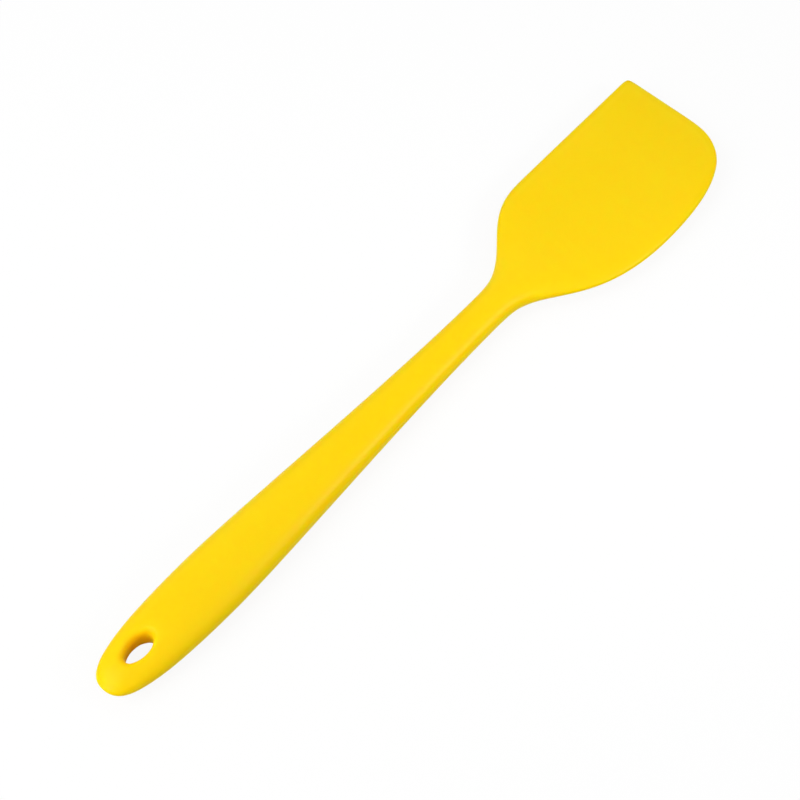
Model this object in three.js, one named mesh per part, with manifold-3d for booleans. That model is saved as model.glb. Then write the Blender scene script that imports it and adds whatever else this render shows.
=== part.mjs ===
import * as THREE from 'three';
import { mergeVertices } from 'three/addons/utils/BufferGeometryUtils.js';
import Module from 'manifold-3d';

const wasm = await Module();
wasm.setup();

// A one-piece silicone spatula over a stiff nylon core, in millimetres.
// X runs from the handle's end to the blade's tip, the front face looks along +Z,
// and the blade's straight edge is on the +Y side. The handle's axis is y = 0, and
// the parting plane through the rim is z = 0, until the whole is stood on its lowest point.

// Outline seen from the front
const OVERALL_LENGTH = 280;
const BLADE_LENGTH = 102.4;
const BELLY_FROM_END = 46;
const BELLY_WIDTH = 22.2;
const NECK_WIDTH = 11.7;
const STRAIGHT_EDGE_REACH = 25.1;
const CURVED_EDGE_REACH = 27;
const STRAIGHT_SHOULDER_LENGTH = 41.4;
const CURVED_SHOULDER_LENGTH = 59.9;
const ROUND_CORNER_WIDTH = 23.7;
const SMALL_CORNER_RADIUS = 2;

// Thickness seen from the side
const BELLY_THICKNESS = 12.4;
const NECK_THICKNESS = 9.2;
const PANEL_ROOT_THICKNESS = 5.6;
const PANEL_TIP_THICKNESS = 3.2;
const EDGE_THICKNESS = 2;
const BEVEL_WIDTH = 9;

// Hanging hole, an oval through the handle's end, a little off the axis towards the straight edge
const HOLE_FROM_END = 15.4;
const HOLE_OFFSET = 0.3;
const HOLE_LENGTH = 11;
const HOLE_WIDTH = 6.2;
const HOLE_FILLET = 2.4;

// Nylon core: a rod in the handle, a leaf in the blade's root and windows that key the silicone
const SKIN = 2;
const CORE_SETBACK = 5;
const LEAF_FROM_NECK = 15;
const LEAF_LENGTH = 46;
const LEAF_WIDTH = 20;
const LEAF_THICKNESS = 1.6;
const ROD_LAP = 14;
const FIRST_WINDOW_FROM_CORE_END = 14;
const WINDOW_PITCH = 24;
const WINDOW_COUNT = 3;
const WINDOW_LENGTH = 12;
const WINDOW_WIDTH = 5;
const CLEARANCE = 0.3;

// Softness of the outline's curves, as a share of each stretch
const NOSE_PULL = { start: 0.56, end: 0.9 };
const GRIP_PULL = { start: 0.165, end: 0.355 };
const STRAIGHT_SHOULDER_PULL = { start: 0.445, end: 0.49 };
const CURVED_SHOULDER_PULL = { start: 0.285, end: 0.7 };
const ROUND_CORNER_PULL = { start: 0.82, end: 0.53 };

// The grip's section is a superellipse: 2 would be a plain ellipse, more is squarer
const GRIP_SQUARENESS = 2.3;

// Fineness of the faceted surface
const RIM_TO_RIM_STEPS = 16;
const NOSE_STEPS = 9;
const GRIP_STEPS = 11;
const SHOULDER_STEPS = 12;
const PANEL_STEPS = 11;
const ROD_STEPS = 12;
const HOLE_POINTS = 32;
const FILLET_STEPS = 4;
const ROUND_END_STEPS = 10;
const CURVE_SAMPLES = 160;
const WELD = 1e-4;

// Places worked out from the sizes above
const NECK_AT = OVERALL_LENGTH - BLADE_LENGTH;
const PANEL_AT = NECK_AT + STRAIGHT_SHOULDER_LENGTH;
const BULGE_AT = NECK_AT + CURVED_SHOULDER_LENGTH;
const CORE_AT = HOLE_FROM_END + HOLE_LENGTH / 2 + HOLE_FILLET + CORE_SETBACK;
const LEAF_AT = NECK_AT + LEAF_FROM_NECK;
const ROD_END = LEAF_AT + ROD_LAP;
const EDGE_RADIUS = EDGE_THICKNESS / 2;

const SILICONE_YELLOW = 0xfcd60a;
const NYLON_GREY = 0x8d9094;

function siliconeMaterial() {
  return new THREE.MeshStandardMaterial({ color: SILICONE_YELLOW, roughness: 0.55, metalness: 0 });
}

function nylonMaterial() {
  return new THREE.MeshStandardMaterial({ color: NYLON_GREY, roughness: 0.6, metalness: 0 });
}

// Outline: each side of the spatula is a chain of curves giving its reach from the handle's axis

// A soft step from one point to another that leaves and arrives along X
function easeCurve(from, to, pull) {
  const run = to.x - from.x;
  const leave = new THREE.Vector2(from.x + pull.start * run, from.y);
  const arrive = new THREE.Vector2(to.x - pull.end * run, to.y);
  return new THREE.CubicBezierCurve(from, leave, arrive, to);
}

// A round nose that leaves across X and arrives along it
function noseCurve(from, to, pull) {
  const rise = new THREE.Vector2(from.x, from.y + pull.start * (to.y - from.y));
  const arrive = new THREE.Vector2(to.x - pull.end * (to.x - from.x), to.y);
  return new THREE.CubicBezierCurve(from, rise, arrive, to);
}

// A round corner that leaves along X and arrives across it
function cornerCurve(from, to, pull) {
  const leave = new THREE.Vector2(from.x + pull.start * (to.x - from.x), from.y);
  const fall = new THREE.Vector2(to.x, to.y - pull.end * (to.y - from.y));
  return new THREE.CubicBezierCurve(from, leave, fall, to);
}

const handleEnd = new THREE.Vector2(0, 0);
const belly = new THREE.Vector2(BELLY_FROM_END, BELLY_WIDTH / 2);
const neck = new THREE.Vector2(NECK_AT, NECK_WIDTH / 2);

function handleCurves() {
  return [noseCurve(handleEnd, belly, NOSE_PULL), easeCurve(belly, neck, GRIP_PULL)];
}

function straightSideCurves() {
  const shoulder = new THREE.Vector2(PANEL_AT, STRAIGHT_EDGE_REACH);
  const turn = new THREE.Vector2(OVERALL_LENGTH - SMALL_CORNER_RADIUS, STRAIGHT_EDGE_REACH);
  const corner = new THREE.EllipseCurve(
    turn.x, turn.y - SMALL_CORNER_RADIUS, SMALL_CORNER_RADIUS, SMALL_CORNER_RADIUS, Math.PI / 2, 0, true);
  return [
    ...handleCurves(),
    easeCurve(neck, shoulder, STRAIGHT_SHOULDER_PULL),
    new THREE.LineCurve(shoulder, turn),
    corner,
  ];
}

function curvedSideCurves() {
  const bulge = new THREE.Vector2(BULGE_AT, CURVED_EDGE_REACH);
  const tip = new THREE.Vector2(OVERALL_LENGTH, CURVED_EDGE_REACH - ROUND_CORNER_WIDTH);
  return [
    ...handleCurves(),
    easeCurve(neck, bulge, CURVED_SHOULDER_PULL),
    cornerCurve(bulge, tip, ROUND_CORNER_PULL),
  ];
}

// The reach of a chain of curves as a function of x
function reachAlong(curves) {
  const points = curves.flatMap((curve) => curve.getPoints(CURVE_SAMPLES));
  return (x) => {
    const after = points.findIndex((point) => point.x >= x);
    if (after < 0) return points[points.length - 1].y;
    const b = points[after];
    const a = points[Math.max(after - 1, 0)];
    const share = b.x > a.x ? (x - a.x) / (b.x - a.x) : 1;
    return THREE.MathUtils.lerp(a.y, b.y, share);
  };
}

const handleReach = reachAlong(handleCurves());
const straightReach = reachAlong(straightSideCurves());
const curvedReach = reachAlong(curvedSideCurves());

// Half the thickness on the middle line of the spatula
function crown(x) {
  if (x < BELLY_FROM_END) return (BELLY_THICKNESS / BELLY_WIDTH) * handleReach(x);
  const slim = THREE.MathUtils.smoothstep(x, BELLY_FROM_END, NECK_AT);
  if (x < NECK_AT) return THREE.MathUtils.lerp(BELLY_THICKNESS, NECK_THICKNESS, slim) / 2;
  const flatten = THREE.MathUtils.smoothstep(x, NECK_AT, PANEL_AT);
  if (x < PANEL_AT) return THREE.MathUtils.lerp(NECK_THICKNESS, PANEL_ROOT_THICKNESS, flatten) / 2;
  const along = (x - PANEL_AT) / (OVERALL_LENGTH - PANEL_AT);
  return THREE.MathUtils.lerp(PANEL_ROOT_THICKNESS, PANEL_TIP_THICKNESS, along) / 2;
}

// Heights of the front face over the parting plane

// How much of the bevel is climbed at a distance inside the edge: 0 on the edge, 1 on the flat panel
function bevelClimb(inside, width) {
  const remaining = 1 - THREE.MathUtils.clamp(inside / width, 0, 1);
  return 1 - remaining * remaining;
}

// The round of the thin edge itself: 0 on the rim, 1 past the edge's radius
function edgeRound(inside) {
  const remaining = 1 - THREE.MathUtils.clamp(inside / EDGE_RADIUS, 0, 1);
  return Math.sqrt(1 - remaining * remaining);
}

function superellipse(across) {
  return Math.pow(1 - Math.pow(Math.abs(across), GRIP_SQUARENESS), 1 / GRIP_SQUARENESS);
}

// Front height at x, where across runs from -1 on the curved side to 1 on the straight side
function frontHeight(x, across) {
  const half = (straightReach(x) + curvedReach(x)) / 2;
  const top = crown(x);
  const grip = top * superellipse(across);
  if (x <= NECK_AT) return grip;
  const inside = half * (1 - Math.abs(across));
  const toTip = OVERALL_LENGTH - x;
  const climb = bevelClimb(inside, Math.min(BEVEL_WIDTH, half)) * bevelClimb(toTip, BEVEL_WIDTH);
  const blade = THREE.MathUtils.lerp(EDGE_RADIUS, top, climb) * edgeRound(inside) * edgeRound(toTip);
  return THREE.MathUtils.lerp(grip, blade, THREE.MathUtils.smoothstep(x, NECK_AT, PANEL_AT));
}

// Lofts: rings of points, all with the same count, skinned into one closed surface

function ringAt(x, straight, curved, heightAt) {
  const middle = (straight - curved) / 2;
  const half = (straight + curved) / 2;
  return Array.from({ length: 2 * RIM_TO_RIM_STEPS }, (_, i) => {
    const angle = (Math.PI * i) / RIM_TO_RIM_STEPS;
    const onRim = i % RIM_TO_RIM_STEPS === 0;
    const across = onRim ? Math.sign(Math.cos(angle)) : Math.cos(angle);
    const height = onRim ? 0 : Math.sign(Math.sin(angle)) * heightAt(across);
    return new THREE.Vector3(x, middle + half * across, height);
  });
}

function loft(rings, capped) {
  const count = rings[0].length;
  const points = rings.flat();
  const faces = [];
  for (let r = 0; r + 1 < rings.length; r += 1) {
    for (let k = 0; k < count; k += 1) {
      const a = r * count + k;
      const b = r * count + ((k + 1) % count);
      faces.push(a, b, a + count, b, b + count, a + count);
    }
  }
  if (capped) {
    const lastRing = points.length - count;
    const first = points.push(centreOf(rings[0])) - 1;
    const last = points.push(centreOf(rings[rings.length - 1])) - 1;
    for (let k = 0; k < count; k += 1) {
      const next = (k + 1) % count;
      faces.push(first, next, k, last, lastRing + k, lastRing + next);
    }
  }
  return new THREE.BufferGeometry().setFromPoints(points).setIndex(faces);
}

function centreOf(points) {
  return points.reduce((sum, point) => sum.add(point), new THREE.Vector3()).divideScalar(points.length);
}

// Solids: welded closed meshes that can be joined and cut

function solidOf(geometry) {
  const bare = geometry.clone();
  bare.deleteAttribute('normal');
  bare.deleteAttribute('uv');
  const welded = mergeVertices(bare, WELD);
  const corners = welded.index.array;
  const kept = [];
  for (let i = 0; i < corners.length; i += 3) {
    const [a, b, c] = corners.slice(i, i + 3);
    if (a !== b && b !== c && c !== a) kept.push(a, b, c);
  }
  return new wasm.Manifold(new wasm.Mesh({
    numProp: 3,
    vertProperties: new Float32Array(welded.attributes.position.array),
    triVerts: new Uint32Array(kept),
  }));
}

function meshOf(name, solid, material) {
  const { vertProperties, triVerts } = solid.getMesh();
  const geometry = new THREE.BufferGeometry();
  geometry.setAttribute('position', new THREE.BufferAttribute(vertProperties, 3));
  geometry.setIndex(new THREE.BufferAttribute(triVerts, 1));
  geometry.computeVertexNormals();
  const mesh = new THREE.Mesh(geometry, material);
  mesh.name = name;
  return mesh;
}

// A flat bar with round ends, lying along X and centred on the parting plane
function capsuleSolid(startX, length, width, thickness) {
  const radius = width / 2;
  const shape = new THREE.Shape();
  shape.absarc(startX + length - radius, 0, radius, -Math.PI / 2, Math.PI / 2);
  shape.absarc(startX + radius, 0, radius, Math.PI / 2, (3 * Math.PI) / 2);
  shape.closePath();
  const options = { depth: thickness, bevelEnabled: false, curveSegments: ROUND_END_STEPS };
  return solidOf(new THREE.ExtrudeGeometry(shape, options).translate(0, 0, -thickness / 2));
}

// Places from one x up to another, without the last, closer together where the ease is slow
function spread(from, to, steps, ease) {
  return Array.from({ length: steps }, (_, i) => THREE.MathUtils.lerp(from, to, ease(i / steps)));
}

// The outer form of the silicone, without hole or pocket
function outerForm() {
  const even = (share) => share;
  const slowStart = (share) => 1 - Math.cos((share * Math.PI) / 2);
  const slowEnd = (share) => Math.sin((share * Math.PI) / 2);
  const places = [
    ...spread(0, BELLY_FROM_END, NOSE_STEPS, slowStart),
    ...spread(BELLY_FROM_END, NECK_AT, GRIP_STEPS, even),
    ...spread(NECK_AT, PANEL_AT, SHOULDER_STEPS, even),
    ...spread(PANEL_AT, OVERALL_LENGTH, PANEL_STEPS, slowEnd),
    BULGE_AT,
    OVERALL_LENGTH,
  ].sort((a, b) => a - b);
  const rings = places.map((x) =>
    ringAt(x, straightReach(x), curvedReach(x), (across) => frontHeight(x, across)));
  return solidOf(loft(rings, false));
}

// The hanging hole: a straight oval wall with a fillet that follows the handle's curved face
function holeCutter() {
  const above = BELLY_THICKNESS;
  const columns = Array.from({ length: HOLE_POINTS }, (_, i) => {
    const angle = (2 * Math.PI * (i + 0.5)) / HOLE_POINTS;
    const out = new THREE.Vector3(Math.cos(angle), Math.sin(angle), 0);
    const half = new THREE.Vector3(HOLE_LENGTH / 2, HOLE_WIDTH / 2, 0);
    const wall = new THREE.Vector3(HOLE_FROM_END, HOLE_OFFSET, 0).add(half.multiply(out));
    const column = [];
    for (let s = 0; s <= FILLET_STEPS; s += 1) {
      const turn = (Math.PI * s) / (2 * FILLET_STEPS);
      const point = wall.clone().addScaledVector(out, HOLE_FILLET * (1 - Math.cos(turn)));
      const face = frontHeight(point.x, point.y / handleReach(point.x));
      column.push(point.setZ(face - HOLE_FILLET * (1 - Math.sin(turn))));
    }
    column.push(wall.clone().addScaledVector(out, HOLE_FILLET).setZ(above));
    const mirrored = column.map((point) => point.clone().setZ(-point.z)).reverse();
    return [...mirrored, ...column];
  });
  const rings = columns[0].map((_, level) => columns.map((column) => column[level]));
  return solidOf(loft(rings, true));
}

// The core's form, grown all round its rod and edges to make the pocket it lies in.
// The leaf's two flat faces and the rod's two end faces are not grown:
// there the silicone bears on the core.
function coreForm(grow) {
  const places = [...spread(CORE_AT, ROD_END, ROD_STEPS, (share) => share), ROD_END];
  const rings = places.map((x) => {
    const half = handleReach(x) - SKIN + grow;
    const top = crown(x) - SKIN + grow;
    return ringAt(x, half, half, (across) => top * superellipse(across));
  });
  const rod = solidOf(loft(rings, true));
  const leaf = capsuleSolid(LEAF_AT - grow, LEAF_LENGTH + 2 * grow, LEAF_WIDTH + 2 * grow, LEAF_THICKNESS);
  const firstWindow = CORE_AT + FIRST_WINDOW_FROM_CORE_END;
  const leafWindow = LEAF_AT + LEAF_LENGTH - LEAF_WIDTH / 2;
  const windows = Array.from({ length: WINDOW_COUNT }, (_, i) => firstWindow + i * WINDOW_PITCH);
  return [...windows, leafWindow].reduce((form, centre) => {
    const length = WINDOW_LENGTH - 2 * grow;
    const width = WINDOW_WIDTH - 2 * grow;
    return form.subtract(capsuleSolid(centre - length / 2, length, width, 2 * BELLY_THICKNESS));
  }, rod.add(leaf));
}

// Everything on one side of the parting plane
function sideBlock(side) {
  const block = new THREE.BoxGeometry(2 * OVERALL_LENGTH, 2 * OVERALL_LENGTH, OVERALL_LENGTH);
  return solidOf(block.translate(OVERALL_LENGTH / 2, 0, (side * OVERALL_LENGTH) / 2));
}

const silicone = outerForm().subtract(holeCutter()).subtract(coreForm(CLEARANCE));

const spatula = new THREE.Group();
spatula.add(
  meshOf('front_skin', silicone.intersect(sideBlock(1)), siliconeMaterial()),
  meshOf('back_skin', silicone.intersect(sideBlock(-1)), siliconeMaterial()),
  meshOf('stiff_core', coreForm(0), nylonMaterial()),
);
spatula.position.set(
  -OVERALL_LENGTH / 2,
  (CURVED_EDGE_REACH - STRAIGHT_EDGE_REACH) / 2,
  Math.max(BELLY_THICKNESS, NECK_THICKNESS) / 2,
);

export default spatula;
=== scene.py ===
# %% [markdown]
# # A one-piece silicone spatula
# The real thing is a stiff nylon core with silicone rubber moulded around it, so that handle and blade are
# one seamless yellow skin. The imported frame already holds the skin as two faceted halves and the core
# between them. Here one smooth skin takes the place of the halves, and the whole gets its finish, a floor,
# light and a camera.

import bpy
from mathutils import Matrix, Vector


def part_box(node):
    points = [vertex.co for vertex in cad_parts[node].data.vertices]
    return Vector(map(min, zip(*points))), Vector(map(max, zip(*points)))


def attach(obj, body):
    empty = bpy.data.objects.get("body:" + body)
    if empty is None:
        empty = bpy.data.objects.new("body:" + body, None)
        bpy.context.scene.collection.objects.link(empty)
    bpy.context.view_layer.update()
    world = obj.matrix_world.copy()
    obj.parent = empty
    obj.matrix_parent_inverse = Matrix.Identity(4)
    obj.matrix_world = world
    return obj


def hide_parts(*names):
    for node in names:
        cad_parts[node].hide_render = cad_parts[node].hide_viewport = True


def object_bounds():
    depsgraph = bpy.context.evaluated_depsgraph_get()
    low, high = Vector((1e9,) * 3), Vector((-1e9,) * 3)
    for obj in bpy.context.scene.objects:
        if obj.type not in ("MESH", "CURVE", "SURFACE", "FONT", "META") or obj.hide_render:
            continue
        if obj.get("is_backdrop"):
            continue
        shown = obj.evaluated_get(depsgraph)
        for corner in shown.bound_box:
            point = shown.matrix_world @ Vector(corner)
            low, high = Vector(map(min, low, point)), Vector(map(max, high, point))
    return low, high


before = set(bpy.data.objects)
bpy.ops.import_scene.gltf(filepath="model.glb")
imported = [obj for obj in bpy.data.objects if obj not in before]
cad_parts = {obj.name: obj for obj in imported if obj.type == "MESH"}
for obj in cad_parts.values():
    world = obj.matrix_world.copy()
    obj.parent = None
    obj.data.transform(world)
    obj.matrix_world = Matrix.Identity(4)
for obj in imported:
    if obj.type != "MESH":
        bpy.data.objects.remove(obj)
cad_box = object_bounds()
print("nodes:", sorted(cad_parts))
print("box:", cad_box)

# %% [markdown]
# ## Camera
# The camera comes first, because every later choice is judged through it. A long lens flattens the
# perspective as it does in a catalogue picture. The camera looks down at about 60 degrees with the
# handle's end nearest. An empty could be tracked instead, but turning the view direction into a rotation
# once keeps the scene free of constraints.

# %% Camera
import bpy
from mathutils import Vector

MM = 0.001
CAMERA_PLACE = Vector((-245.1, -207.3, 556.5)) * MM
CAMERA_TARGET = Vector((-9.3, 0.3, 6.2)) * MM
LENS = 90
SENSOR = 36


def add_to_scene(name, data):
    thing = bpy.data.objects.new(name, data)
    bpy.context.scene.collection.objects.link(thing)
    return thing


def point_at(thing, place, target):
    """Puts a camera or a lamp at a place and turns it to look at a target."""
    thing.location = place
    thing.rotation_euler = (target - place).to_track_quat("-Z", "Y").to_euler()


camera = add_to_scene("camera", bpy.data.cameras.new("camera"))
camera.data.lens = LENS
camera.data.sensor_width = SENSOR
point_at(camera, CAMERA_PLACE, CAMERA_TARGET)
bpy.context.scene.camera = camera
print("camera distance in mm:", round((CAMERA_TARGET - CAMERA_PLACE).length / MM))

# %% [markdown]
# ## Outline
# Seen from the front, the spatula has a round nose, a belly that fits the palm, a slim neck and a blade
# with one straight edge and one curved edge. Each side is a chain of Bezier curves between a few real
# sizes, so it stays smooth and easy to change. Tracing many points would give wobbly edges. X runs along
# the handle's axis from the nose, and Y is the reach from that axis.

# %% Sizes and curves of the outline
from mathutils.geometry import interpolate_bezier

LENGTH = cad_box[1].x - cad_box[0].x
BLADE_LENGTH = 102.4 * MM
BELLY = Vector((46 * MM, 11.1 * MM))
NECK = Vector((LENGTH - BLADE_LENGTH, 5.85 * MM))
NOSE_PULL = (0.56, 0.9)
GRIP_PULL = (0.165, 0.355)
CURVE_POINTS = 80


def bend(start, leave, arrive, end):
    """Points of a Bezier curve, where leave and arrive are the offsets of its two handles."""
    knots = (start, start + Vector(leave), end + Vector(arrive), end)
    return interpolate_bezier(*[knot.to_3d() for knot in knots], CURVE_POINTS)


def soft_step(start, end, pull):
    """A bend that sets off and arrives along X, with handles that are shares of its run."""
    run = end.x - start.x
    return bend(start, (pull[0] * run, 0), (-pull[1] * run, 0), end)


def handle_side():
    nose = bend(Vector((0, 0)), (0, NOSE_PULL[0] * BELLY.y), (-NOSE_PULL[1] * BELLY.x, 0), BELLY)
    return nose + soft_step(BELLY, NECK, GRIP_PULL)


print("points along the handle's side:", len(handle_side()))

# %% Straight side and curved side
from bisect import bisect_left
from math import cos, pi, sin

STRAIGHT_SHOULDER = NECK.x + 41.4 * MM
STRAIGHT_REACH = 25.1 * MM
STRAIGHT_PULL = (0.445, 0.49)
SMALL_CORNER = 2 * MM
CURVED_SHOULDER = NECK.x + 59.9 * MM
CURVED_REACH = 27 * MM
CURVED_PULL = (0.285, 0.7)
ROUND_CORNER_WIDTH = 23.7 * MM
ROUND_CORNER_PULL = (0.82, 0.53)


def straight_side():
    shoulder = soft_step(NECK, Vector((STRAIGHT_SHOULDER, STRAIGHT_REACH)), STRAIGHT_PULL)
    middle = Vector((LENGTH - SMALL_CORNER, STRAIGHT_REACH - SMALL_CORNER, 0))
    angles = [pi / 2 * (1 - i / CURVE_POINTS) for i in range(CURVE_POINTS + 1)]
    corner = [middle + SMALL_CORNER * Vector((cos(a), sin(a), 0)) for a in angles]
    return handle_side() + shoulder + corner


def curved_side():
    bulge = Vector((CURVED_SHOULDER, CURVED_REACH))
    tip = Vector((LENGTH, CURVED_REACH - ROUND_CORNER_WIDTH))
    leave = (ROUND_CORNER_PULL[0] * (tip.x - bulge.x), 0)
    arrive = (0, ROUND_CORNER_PULL[1] * ROUND_CORNER_WIDTH)
    return handle_side() + soft_step(NECK, bulge, CURVED_PULL) + bend(bulge, leave, arrive, tip)


def reach_at(side, x):
    """How far a side lies from the handle's axis, at a place along it."""
    after = bisect_left(side, x, key=lambda point: point.x)
    after = min(max(after, 1), len(side) - 1)
    a, b = side[after - 1], side[after]
    share = (x - a.x) / (b.x - a.x) if b.x > a.x else 1
    return a.lerp(b, min(share, 1)).y


STRAIGHT_SIDE = straight_side()
CURVED_SIDE = curved_side()
print("blade width in mm:", round((STRAIGHT_REACH + CURVED_REACH) / MM, 1))

# %% [markdown]
# ## Height of the face
# The handle's section is a superellipse, a little squarer than an oval. Past the neck it melts into a
# thin panel whose edges fall away in a soft bevel to a rounded rim. Sections could be drawn and lofted, but
# they would be hard to match between the round handle and the flat blade. One function that gives the
# height at any point lets the mesh below be laid out flat first and lifted afterwards.

# %% Thickness along the middle line
BELLY_THICKNESS = 12.4 * MM
NECK_THICKNESS = 9.2 * MM
PANEL_ROOT_THICKNESS = 5.6 * MM
PANEL_TIP_THICKNESS = 3.2 * MM


def between(value, low, high):
    return min(max((value - low) / (high - low), 0), 1)


def smooth_between(value, low, high):
    share = between(value, low, high)
    return share * share * (3 - 2 * share)


def mix(a, b, share):
    return a + (b - a) * share


def crown(x):
    """Half the thickness on the middle line."""
    if x < BELLY.x:
        return BELLY_THICKNESS / 2 * reach_at(STRAIGHT_SIDE, x) / BELLY.y
    if x < NECK.x:
        return mix(BELLY_THICKNESS, NECK_THICKNESS, smooth_between(x, BELLY.x, NECK.x)) / 2
    flattened = mix(NECK_THICKNESS, PANEL_ROOT_THICKNESS, smooth_between(x, NECK.x, STRAIGHT_SHOULDER))
    return mix(flattened, PANEL_TIP_THICKNESS, between(x, STRAIGHT_SHOULDER, LENGTH)) / 2


for name, x in (("belly", BELLY.x), ("neck", NECK.x), ("blade's root", STRAIGHT_SHOULDER)):
    print(name, "thickness in mm:", round(2 * crown(x) / MM, 2))

# %% Height over the parting plane
EDGE_RADIUS = 1 * MM
BEVEL_WIDTH = 9 * MM
GRIP_SQUARENESS = 2.3


def bevel_climb(inside, width):
    """0 on the edge, 1 on the flat panel."""
    return 1 - (1 - between(inside, 0, width)) ** 2


def edge_round(inside):
    """0 on the rim, 1 past the edge's own radius."""
    return (1 - (1 - between(inside, 0, EDGE_RADIUS)) ** 2) ** 0.5


def front_height(x, y):
    """How high the front face stands over a point of the plan."""
    straight, curved = reach_at(STRAIGHT_SIDE, x), reach_at(CURVED_SIDE, x)
    half = (straight + curved) / 2
    across = min(abs(y - (straight - curved) / 2) / half, 1)
    top = crown(x)
    grip = top * (1 - across**GRIP_SQUARENESS) ** (1 / GRIP_SQUARENESS)
    inside, to_tip = half * (1 - across), LENGTH - x
    climb = bevel_climb(inside, min(BEVEL_WIDTH, half)) * bevel_climb(to_tip, BEVEL_WIDTH)
    blade = mix(EDGE_RADIUS, top, climb) * edge_round(inside) * edge_round(to_tip)
    return mix(grip, blade, smooth_between(x, NECK.x, STRAIGHT_SHOULDER))


print("height halfway out on the belly in mm:", round(front_height(BELLY.x, BELLY.y / 2) / MM, 2))

# %% [markdown]
# ## Front sheet
# The skin starts as a flat grid of quads that is fitted into the outline. Its four corners sit where the
# nose and the tip turn, so no pole of triangles is needed at either end. Columns crowd towards the rim
# and rows towards the tip and the hole, where the form bends most. Lofting rings along the handle would
# also work, but it pinches the nose into a point.

# %% Rows of the sheet
HOLE_CENTRE = Vector((15.4 * MM, 0.3 * MM))
HOLE_LENGTH = 11 * MM
HOLE_WIDTH = 6.2 * MM
HOLE_FILLET = 2.4 * MM
HOLE_START = HOLE_CENTRE.x - HOLE_LENGTH / 2 - HOLE_FILLET
HOLE_END = HOLE_CENTRE.x + HOLE_LENGTH / 2 + HOLE_FILLET
NOSE_TURN = 2.6 * MM
SMALL_TURN = LENGTH - 0.6 * MM
NOSE_ROWS = 3
HOLE_ROWS = 4
GRIP_ROWS = 15
GRIP_CROWDING = 0.75
SHOULDER_ROWS = 11
TIP_ROWS = 8
TIP_CROWDING = 1.7


def steps(start, end, count, crowding=1.0):
    """Places from start up to end, without start, closer at the end where crowding is above 1."""
    return [mix(end, start, (1 - (i + 1) / count) ** crowding) for i in range(count)]


def row_places():
    places = [NOSE_TURN]
    places += steps(NOSE_TURN, HOLE_START, NOSE_ROWS)
    places += steps(HOLE_START, HOLE_END, HOLE_ROWS)
    places += steps(HOLE_END, NECK.x, GRIP_ROWS, GRIP_CROWDING)
    places += steps(NECK.x, CURVED_SHOULDER, SHOULDER_ROWS)
    return places + steps(CURVED_SHOULDER, SMALL_TURN, TIP_ROWS, TIP_CROWDING)


ROWS = row_places()
print("rows:", len(ROWS), "from", round(ROWS[0] / MM, 1), "to", round(ROWS[-1] / MM, 1), "mm")

# %% Two ends of the sheet
ROUND_TURN = LENGTH - 8 * MM


def across_axis(points):
    """The same points on the other side of the handle's axis."""
    return [Vector((point.x, -point.y, 0)) for point in points]


def nose_line():
    """The rim round the nose, from the curved side to the straight one."""
    side = [point for point in STRAIGHT_SIDE if point.x < NOSE_TURN]
    side.append(Vector((NOSE_TURN, reach_at(STRAIGHT_SIDE, NOSE_TURN), 0)))
    return across_axis(reversed(side)) + side[1:]


def tip_line():
    """The rim round the tip, from the curved side to the straight one."""
    curved = [Vector((ROUND_TURN, reach_at(CURVED_SIDE, ROUND_TURN), 0))]
    curved += [point for point in CURVED_SIDE if point.x > ROUND_TURN]
    straight = [point for point in reversed(STRAIGHT_SIDE) if point.x > SMALL_TURN]
    straight.append(Vector((SMALL_TURN, reach_at(STRAIGHT_SIDE, SMALL_TURN), 0)))
    return across_axis(curved) + straight


NOSE = nose_line()
TIP = tip_line()
print("points on the nose:", len(NOSE), "and on the tip:", len(TIP))

# %% Lay the grid into the outline
import bmesh

COLUMNS = 14
RIM_CROWDING = 1.8


def along(points, share):
    """The point at a share of the way along a chain of points."""
    lengths = [0.0]
    for a, b in zip(points, points[1:]):
        lengths.append(lengths[-1] + (b - a).length)
    goal = share * lengths[-1]
    after = min(max(bisect_left(lengths, goal), 1), len(points) - 1)
    step = lengths[after] - lengths[after - 1]
    return points[after - 1].lerp(points[after], (goal - lengths[after - 1]) / step)


def bow(points, share):
    """How far a chain of points stands off the straight line between its ends."""
    return along(points, share) - points[0].lerp(points[-1], share)


def crowd(share):
    """Moves a place across the sheet, from 0 to 1, closer to its nearer rim."""
    off_middle = 2 * share - 1
    out = 1 - (1 - abs(off_middle)) ** RIM_CROWDING
    return (1 + (out if off_middle > 0 else -out)) / 2


def sheet_place(row, column):
    """Where a vertex of the grid lies inside the outline."""
    share = crowd(column / COLUMNS)
    x = ROWS[row]
    tip_share = between(x, CURVED_SHOULDER, SMALL_TURN)
    curved_x = x - tip_share * (SMALL_TURN - ROUND_TURN)
    curved = Vector((curved_x, -reach_at(CURVED_SIDE, curved_x), 0))
    straight = Vector((x, reach_at(STRAIGHT_SIDE, x), 0))
    nose_share = max(1 - row / NOSE_ROWS, 0)
    return curved.lerp(straight, share) + nose_share * bow(NOSE, share) + tip_share * bow(TIP, share)


sheet = bmesh.new()
last_row = len(ROWS) - 1
bmesh.ops.create_grid(sheet, x_segments=last_row, y_segments=COLUMNS, size=1)
for vert in sheet.verts:
    row = round((vert.co.x + 1) / 2 * last_row)
    column = round((vert.co.y + 1) / 2 * COLUMNS)
    vert.co = sheet_place(row, column)
print("front sheet:", len(sheet.verts), "vertices,", len(sheet.faces), "quads")

# %% [markdown]
# ## Rim and lift
# The rim is the thin rounded edge all round the spatula. An inset around the whole sheet makes a narrow
# band of quads there, which holds the edge once the surface is subdivided. Creases could hold it too, but
# they would leave the grid's four corners on the rim, and the inset takes them off it. Then every vertex
# that isn't on the rim is lifted to the height of the face.

# %% Inset the rim and lift the sheet
RIM_BAND = 0.12 * MM

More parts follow.
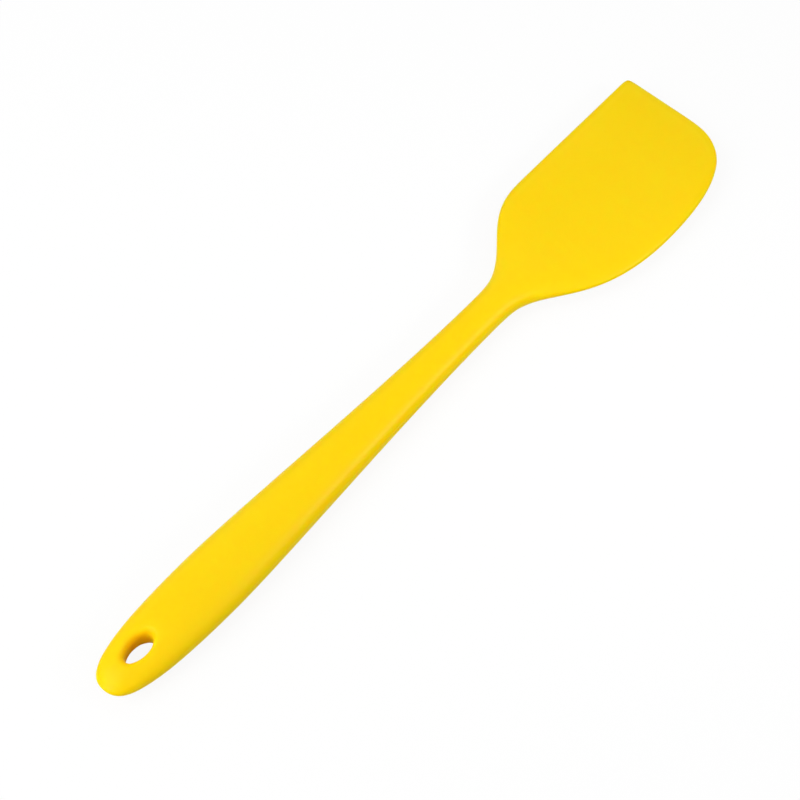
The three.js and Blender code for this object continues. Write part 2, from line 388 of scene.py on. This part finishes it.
bmesh.ops.inset_region(
    sheet, faces=sheet.faces[:], thickness=RIM_BAND, use_boundary=True, use_even_offset=True)
for vert in sheet.verts:
    if not vert.is_boundary:
        vert.co.z = front_height(vert.co.x, vert.co.y)
print("highest point in mm:", round(max(vert.co.z for vert in sheet.verts) / MM, 2))

# %% [markdown]
# ## Hanging hole
# An oval hole goes right through the handle's end, with a soft rim that a hook slides over. A boolean
# would leave ragged faces that subdivide badly, so a block of quads is taken out of the sheet, the gap is
# rounded to the oval, and its edge is extruded down in steps: three for the fillet and one for the
# straight wall.

# %% Cut the hole
HALF_HOLE = Vector((HOLE_LENGTH / 2, HOLE_WIDTH / 2))


def square_angle(p, q):
    """The angle that spreads the edge of a square evenly round a circle."""
    if abs(p) >= abs(q):
        return pi / 4 * q / p + (pi if p < 0 else 0)
    return pi / 2 - pi / 4 * p / q + (pi if q < 0 else 0)


def hole_point(angle, grow):
    """A point of the oval, grown all round, at an angle about its middle."""
    out = Vector(((HALF_HOLE.x + grow) * cos(angle), (HALF_HOLE.y + grow) * sin(angle)))
    return (HOLE_CENTRE + out).to_3d()


def near_hole(place):
    """True in the block of the plan that holds the hole and its soft rim."""
    return HOLE_START < place.x < HOLE_END and abs(place.y) < HALF_HOLE.y + HOLE_FILLET


def ring_angles(ring):
    """The angle on the oval for each vertex round the square gap."""
    half_length = (HOLE_END - HOLE_START) / 2
    half_width = max(vert.co.y for vert in ring)
    return {v: square_angle((v.co.x - HOLE_CENTRE.x) / half_length, v.co.y / half_width) for v in ring}


taken_out = [face for face in sheet.faces if near_hole(face.calc_center_median())]
bmesh.ops.delete(sheet, geom=taken_out, context="FACES")
hole_edge = [edge for edge in sheet.edges if edge.is_boundary and edge.verts[0].co.z > 0]
for vert, angle in ring_angles({vert for edge in hole_edge for vert in edge.verts}).items():
    vert.co = hole_point(angle, HOLE_FILLET)
    vert.co.z = front_height(vert.co.x, vert.co.y)
print("hole:", len(taken_out), "quads taken out,", len(hole_edge), "edges round it")

# %% Turn the hole's edge down
from math import atan2

FILLET_TURNS = (pi / 3, pi / 6, 0)


def hole_angle(place, grow):
    """The angle of a place that lies on the grown oval."""
    out = place.xy - HOLE_CENTRE
    return atan2(out.y / (HALF_HOLE.y + grow), out.x / (HALF_HOLE.x + grow))


def turn_down(edges, place_of):
    """Extrudes a ring of edges and moves each new vertex to its place."""
    new = bmesh.ops.extrude_edge_only(sheet, edges=edges)["geom"]
    for vert in [item for item in new if isinstance(item, bmesh.types.BMVert)]:
        vert.co = place_of(vert.co)
    return [item for item in new if isinstance(item, bmesh.types.BMEdge) and item.is_boundary]


def fillet_point(angle, turn):
    """A point of the soft rim: a turn of 90 degrees is on the face and 0 is on the wall."""
    point = hole_point(angle, HOLE_FILLET * (1 - cos(turn)))
    point.z = front_height(point.x, point.y) - HOLE_FILLET * (1 - sin(turn))
    return point


grow = HOLE_FILLET
for turn in FILLET_TURNS:
    hole_edge = turn_down(hole_edge, lambda place: fillet_point(hole_angle(place, grow), turn))
    grow = HOLE_FILLET * (1 - cos(turn))
hole_edge = turn_down(hole_edge, lambda place: hole_point(hole_angle(place, 0), 0))
print("hole wall ends on the parting plane:", all(v.co.z == 0 for e in hole_edge for v in e.verts))

# %% [markdown]
# ## Both sides and the parting line
# The mould opens on the plane through the rim, and front and back are alike, so a mirror makes the back
# and welds both the rim and the hole's wall on that plane. A Mirror modifier would do that too, but the
# next step needs the whole rim as real edges. Where the mould's halves met, a moulding keeps a hair-fine
# line. It is a narrow bevel along the rim whose middle is pushed out by about a tenth of a millimetre.

# %% Mirror and parting line
from mathutils import Matrix

WELD = 1e-6
PARTING_HALF_WIDTH = 0.16 * MM
PARTING_HEIGHT = 0.12 * MM


def on_rim(vert):
    return abs(vert.co.z) < WELD and not near_hole(vert.co)


everything = sheet.verts[:] + sheet.edges[:] + sheet.faces[:]
bmesh.ops.mirror(sheet, geom=everything, matrix=Matrix.Identity(4), merge_dist=WELD, axis="Z")
bmesh.ops.remove_doubles(sheet, verts=sheet.verts[:], dist=WELD)
bmesh.ops.recalc_face_normals(sheet, faces=sheet.faces[:])
rim = [edge for edge in sheet.edges if all(on_rim(vert) for vert in edge.verts)]
bmesh.ops.bevel(
    sheet, geom=rim, offset=PARTING_HALF_WIDTH, affect="EDGES", segments=2, profile=0.5, material=-1)
sheet.normal_update()
ridge = [vert for vert in sheet.verts if on_rim(vert)]
for vert in ridge:
    vert.co += vert.normal * PARTING_HEIGHT
closed = all(edge.is_manifold for edge in sheet.edges)
print("rim edges:", len(rim), "ridge vertices:", len(ridge), "closed:", closed)

# %% [markdown]
# ## Skin on the frame
# The sheet was modelled around the handle's axis with the nose at zero, so it is moved to where the packed
# skin lies. That goes into the mesh and leaves the object at the origin, so that patterns on Object
# coordinates stay in place. A subdivision surface then rounds what the quads only outline. A finer mesh
# could do without it, but it would be slow to shape.

# %% Make the skin an object on the frame
SMOOTHING = 2

nose_end = Vector((cad_box[0].x, cad_box[1].y - STRAIGHT_REACH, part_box("front_skin")[0].z))
bmesh.ops.translate(sheet, verts=sheet.verts[:], vec=nose_end)
skin = add_to_scene("silicone_skin", bpy.data.meshes.new("silicone_skin"))
sheet.to_mesh(skin.data)
sheet.free()
skin.data.shade_smooth()
smooth = skin.modifiers.new("smooth", "SUBSURF")
smooth.levels = SMOOTHING
smooth.render_levels = SMOOTHING
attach(skin, "root")
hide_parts("front_skin", "back_skin")
print("skin:", len(skin.data.polygons), "faces before smoothing")

# %% [markdown]
# ## Silicone finish
# Silicone is a soft, slightly translucent rubber. Light goes a few millimetres in before it comes out
# again, which softens the shade, so a plain yellow without scattering would look like hard plastic. The
# mould leaves a fine satin grain, and the pigment is never mixed perfectly evenly. The pin that forms the
# hole leaves a matt wall. That wall is also painted a deeper amber, as painted shade for the light that
# bounces inside the hole. The yellow, the grain and the gloss are worked on Object coordinates, so they
# stay in real sizes: noise for the face, and the distance from the hole's middle, measured in ovals, for
# its wall.

# %% Helpers for materials
NOISE_LOW = 0.3
NOISE_HIGH = 0.7


def add_node(tree, kind, **values):
    """A node with its properties (small first letter) or input sockets (capital first letter) set."""
    node = tree.nodes.new(kind)
    for name, value in values.items():
        if name[0].isupper():
            node.inputs[name.replace("_", " ")].default_value = value
        else:
            setattr(node, name, value)
    return node


def start_material(name):
    material = bpy.data.materials.new(name)
    material.use_nodes = True
    tree = material.node_tree
    places = add_node(tree, "ShaderNodeTexCoord").outputs["Object"]
    return material, tree, tree.nodes["Principled BSDF"], places


def noise(tree, places, scale, detail):
    node = add_node(tree, "ShaderNodeTexNoise", Scale=scale, Detail=detail)
    tree.links.new(places, node.inputs["Vector"])
    return node.outputs["Fac"]


def blend(tree, kind, factor, low, high):
    """Goes from low to high as the factor goes from 0 to 1, where either may be another node's output."""
    node = add_node(tree, "ShaderNodeMix", data_type=kind)
    tree.links.new(factor, node.inputs["Factor"])
    for socket, value in ((node.inputs["A"], low), (node.inputs["B"], high)):
        if isinstance(value, bpy.types.NodeSocket):
            tree.links.new(value, socket)
        else:
            socket.default_value = value
    return node.outputs["Result"]


def in_range(tree, value, low, high):
    """Spreads a noise, most of which lies around one half, from low to high."""
    node = add_node(
        tree, "ShaderNodeMapRange", From_Min=NOISE_LOW, From_Max=NOISE_HIGH, To_Min=low, To_Max=high)
    tree.links.new(value, node.inputs["Value"])
    return node.outputs["Result"]


def bump(tree, height, depth, strength, normal=None):
    node = add_node(tree, "ShaderNodeBump", Strength=strength, Distance=depth)
    tree.links.new(height, node.inputs["Height"])
    if normal:
        tree.links.new(normal, node.inputs["Normal"])
    return node.outputs["Normal"]


print("noise is spread from", NOISE_LOW, "to", NOISE_HIGH)

# %% Wall of the hole
RIM_FADE = 1.25


def inside_hole(tree, places):
    """1 on the wall of the hanging hole, falling to 0 on its soft rim: it marks the matt wall and its
    painted amber shade.
    """
    shrink = Vector((1 / HALF_HOLE.x, 1 / HALF_HOLE.y, 0))
    centre = nose_end + HOLE_CENTRE.to_3d()
    oval = add_node(tree, "ShaderNodeMapping", Location=-centre * shrink, Scale=shrink)
    tree.links.new(places, oval.inputs["Vector"])
    from_middle = add_node(tree, "ShaderNodeVectorMath", operation="LENGTH")
    tree.links.new(oval.outputs["Vector"], from_middle.inputs[0])
    wall = add_node(tree, "ShaderNodeMapRange", From_Min=1, From_Max=RIM_FADE, To_Min=1, To_Max=0)
    tree.links.new(from_middle.outputs["Value"], wall.inputs["Value"])
    return wall.outputs["Result"]


print("amber fades out past the oval's ends over, in mm:", round((RIM_FADE - 1) * HALF_HOLE.x / MM, 2))

# %% Yellow silicone
DEEP_YELLOW = (0.975, 0.627, 0, 1)
CLEAR_YELLOW = (0.995, 0.656, 0.002, 1)
PIGMENT_CLOUDS = {"scale": 30, "detail": 3}
# Painted shade: the hole's wall is painted a deeper amber for the light that bounces inside the hole.
HOLE_PAINTED_SHADE = (1, 0.58, 0, 1)
SATIN_ROUGHNESS = (0.33, 0.39)
SATIN_PATCHES = {"scale": 240, "detail": 2}
HOLE_ROUGHNESS = 0.62
WAVES = {"scale": 22, "detail": 1}
WAVE_BUMP = {"depth": 0.3 * MM, "strength": 0.3}
GRAIN = {"scale": 2600, "detail": 2}
GRAIN_BUMP = {"depth": 0.04 * MM, "strength": 0.25}
RUBBER = {
    "IOR": 1.41,
    "Specular IOR Level": 0.12,
    "Subsurface Weight": 1,
    "Subsurface Radius": (1, 0.3, 0.06),
    "Subsurface Scale": 3 * MM,
}


def yellow_silicone():
    material, tree, surface, places = start_material("yellow_silicone")
    wall = inside_hole(tree, places)
    pigment = blend(tree, "RGBA", noise(tree, places, **PIGMENT_CLOUDS), DEEP_YELLOW, CLEAR_YELLOW)
    # The hole's wall gets painted amber shade over the clouded yellow.
    tree.links.new(blend(tree, "RGBA", wall, pigment, HOLE_PAINTED_SHADE), surface.inputs["Base Color"])
    satin = in_range(tree, noise(tree, places, **SATIN_PATCHES), *SATIN_ROUGHNESS)
    tree.links.new(blend(tree, "FLOAT", wall, satin, HOLE_ROUGHNESS), surface.inputs["Roughness"])
    waves = bump(tree, noise(tree, places, **WAVES), **WAVE_BUMP)
    grain = bump(tree, noise(tree, places, **GRAIN), **GRAIN_BUMP, normal=waves)
    tree.links.new(grain, surface.inputs["Normal"])
    for name, value in RUBBER.items():
        surface.inputs[name].default_value = value
    return material


skin.data.materials.append(yellow_silicone())
print("silicone colours:", DEEP_YELLOW, CLEAR_YELLOW)

# %% [markdown]
# ## Nylon core
# The core is hidden, so it isn't modelled again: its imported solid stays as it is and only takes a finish.
# That is grey nylon with the faint streaks that glass fibre leaves along the way the melt flowed.

# %% Grey nylon
NYLON_DARK = (0.23, 0.235, 0.25, 1)
NYLON_LIGHT = (0.3, 0.305, 0.32, 1)
NYLON_ROUGHNESS = (0.5, 0.65)
FLOW_STRETCH = (0.15, 1, 1)
STREAKS = {"scale": 500, "detail": 4}
STREAK_BUMP = {"depth": 0.05 * MM, "strength": 0.3}


def grey_nylon():
    material, tree, surface, places = start_material("grey_nylon")
    flow = add_node(tree, "ShaderNodeMapping", Scale=FLOW_STRETCH)
    tree.links.new(places, flow.inputs["Vector"])
    streaks = noise(tree, flow.outputs["Vector"], **STREAKS)
    tree.links.new(blend(tree, "RGBA", streaks, NYLON_DARK, NYLON_LIGHT), surface.inputs["Base Color"])
    tree.links.new(in_range(tree, streaks, *NYLON_ROUGHNESS), surface.inputs["Roughness"])
    tree.links.new(bump(tree, streaks, **STREAK_BUMP), surface.inputs["Normal"])
    return material


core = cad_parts["stiff_core"]
core.data.materials.clear()
core.data.materials.append(grey_nylon())
print("core finish:", core.data.materials[0].name)

# %% [markdown]
# ## Floor
# A catalogue picture lies on white. Strong lamps could burn a floor out to white, but they would burn the
# object too. So the floor is a plain matt sheet that the camera and reflections see as white. Most of what
# they see is an even glow, which leaves only a faint soft shadow. The glow doesn't light the object, and
# the sheet throws light back as a grey one would, so the underside keeps some shade.

# %% Floor
FLOOR_REACH = 3
SEEN_WHITE = (0.9, 0.9, 0.9, 1)
BOUNCE_GREY = (0.4, 0.4, 0.4, 1)
FLOOR_GLOW = 0.9


def seen_directly(tree):
    """1 for rays from the camera, in reflections or through glass, and 0 for rays that carry light."""
    path = add_node(tree, "ShaderNodeLightPath")
    total = path.outputs["Is Camera Ray"]
    for name in ("Is Glossy Ray", "Is Transmission Ray"):
        either = add_node(tree, "ShaderNodeMath", operation="MAXIMUM")
        tree.links.new(total, either.inputs[0])
        tree.links.new(path.outputs[name], either.inputs[1])
        total = either.outputs["Value"]
    return total


def pale_floor():
    material = bpy.data.materials.new("pale_floor")
    material.use_nodes = True
    tree = material.node_tree
    tree.nodes.clear()
    seen = seen_directly(tree)
    output = add_node(tree, "ShaderNodeOutputMaterial")
    matt = add_node(tree, "ShaderNodeBsdfDiffuse")
    tree.links.new(blend(tree, "RGBA", seen, BOUNCE_GREY, SEEN_WHITE), matt.inputs["Color"])
    glow = add_node(tree, "ShaderNodeEmission", Strength=1)
    both = add_node(tree, "ShaderNodeMixShader")
    tree.links.new(blend(tree, "FLOAT", seen, 0, FLOOR_GLOW), both.inputs["Fac"])
    tree.links.new(matt.outputs["BSDF"], both.inputs[1])
    tree.links.new(glow.outputs["Emission"], both.inputs[2])
    tree.links.new(both.outputs["Shader"], output.inputs["Surface"])
    return material


floor_sheet = bmesh.new()
bmesh.ops.create_grid(floor_sheet, x_segments=1, y_segments=1, size=FLOOR_REACH)
floor = add_to_scene("floor", bpy.data.meshes.new("floor"))
floor_sheet.to_mesh(floor.data)
floor_sheet.free()
floor.data.materials.append(pale_floor())
floor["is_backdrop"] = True
print("floor side in m:", 2 * FLOOR_REACH)

# %% [markdown]
# ## Light
# The light is that of a white tent: an even glow from all round and one large soft lamp over the handle's
# end. A smaller lamp low beyond that end brightens the nose, and a faint one on the other side draws a soft
# line along the neck. Its narrow spread, like a grid in front of a studio lamp, keeps it off the belly.
# Small hard lamps would draw sharp highlights, which satin silicone doesn't show. As with the floor, the
# camera sees the tent as plain white, while the object gets its dimmer glow.

# %% World
WHITE = (1, 1, 1, 1)
WORLD_GLOW = 0.68


def tent_world():
    world = bpy.data.worlds.new("white_tent")
    world.use_nodes = True
    tree = world.node_tree
    background = tree.nodes["Background"]
    background.inputs["Color"].default_value = WHITE
    strength = add_node(tree, "ShaderNodeMapRange", To_Min=WORLD_GLOW, To_Max=1)
    tree.links.new(seen_directly(tree), strength.inputs["Value"])
    tree.links.new(strength.outputs["Result"], background.inputs["Strength"])
    return world


bpy.context.scene.world = tent_world()
bpy.context.scene.view_settings.view_transform = "Standard"
print("world glow:", WORLD_GLOW)

# %% Lamps
ALL_ROUND = pi
NARROW = 0.7
LAMPS = {
    "main_lamp": {"place": (-0.7, 0.32, 0.8), "size": 0.77, "power": 4.8, "spread": ALL_ROUND},
    "end_lamp": {"place": (-0.8, 0.1, 0.2), "size": 0.3, "power": 1.4, "spread": ALL_ROUND},
    "neck_lamp": {"place": (0.25, -0.48, 0.34), "size": 0.18, "power": 0.072, "spread": NARROW},
}
LAMP_TARGET = Vector((0.03, 0, 0.006))


def soft_lamp(name, place, size, power, spread):
    """A round lamp, with its sizes in metres, its power in watts and its spread in radians."""
    lamp = add_to_scene(name, bpy.data.lights.new(name, "AREA"))
    lamp.data.shape = "DISK"
    lamp.data.size = size
    lamp.data.energy = power
    lamp.data.spread = spread
    point_at(lamp, Vector(place), LAMP_TARGET)
    return lamp


for name, values in LAMPS.items():
    lamp = soft_lamp(name, **values)
    print(name, "distance in m:", round((lamp.location - LAMP_TARGET).length, 2))

# %% [markdown]
# ## Sizes
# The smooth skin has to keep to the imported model's box, so both boxes are written down side by side.

boxes = {"cad": cad_box, "visual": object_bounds()}
for name, (low, high) in boxes.items():
    print(name, "box in mm:", [round(side / MM, 2) for side in high - low])
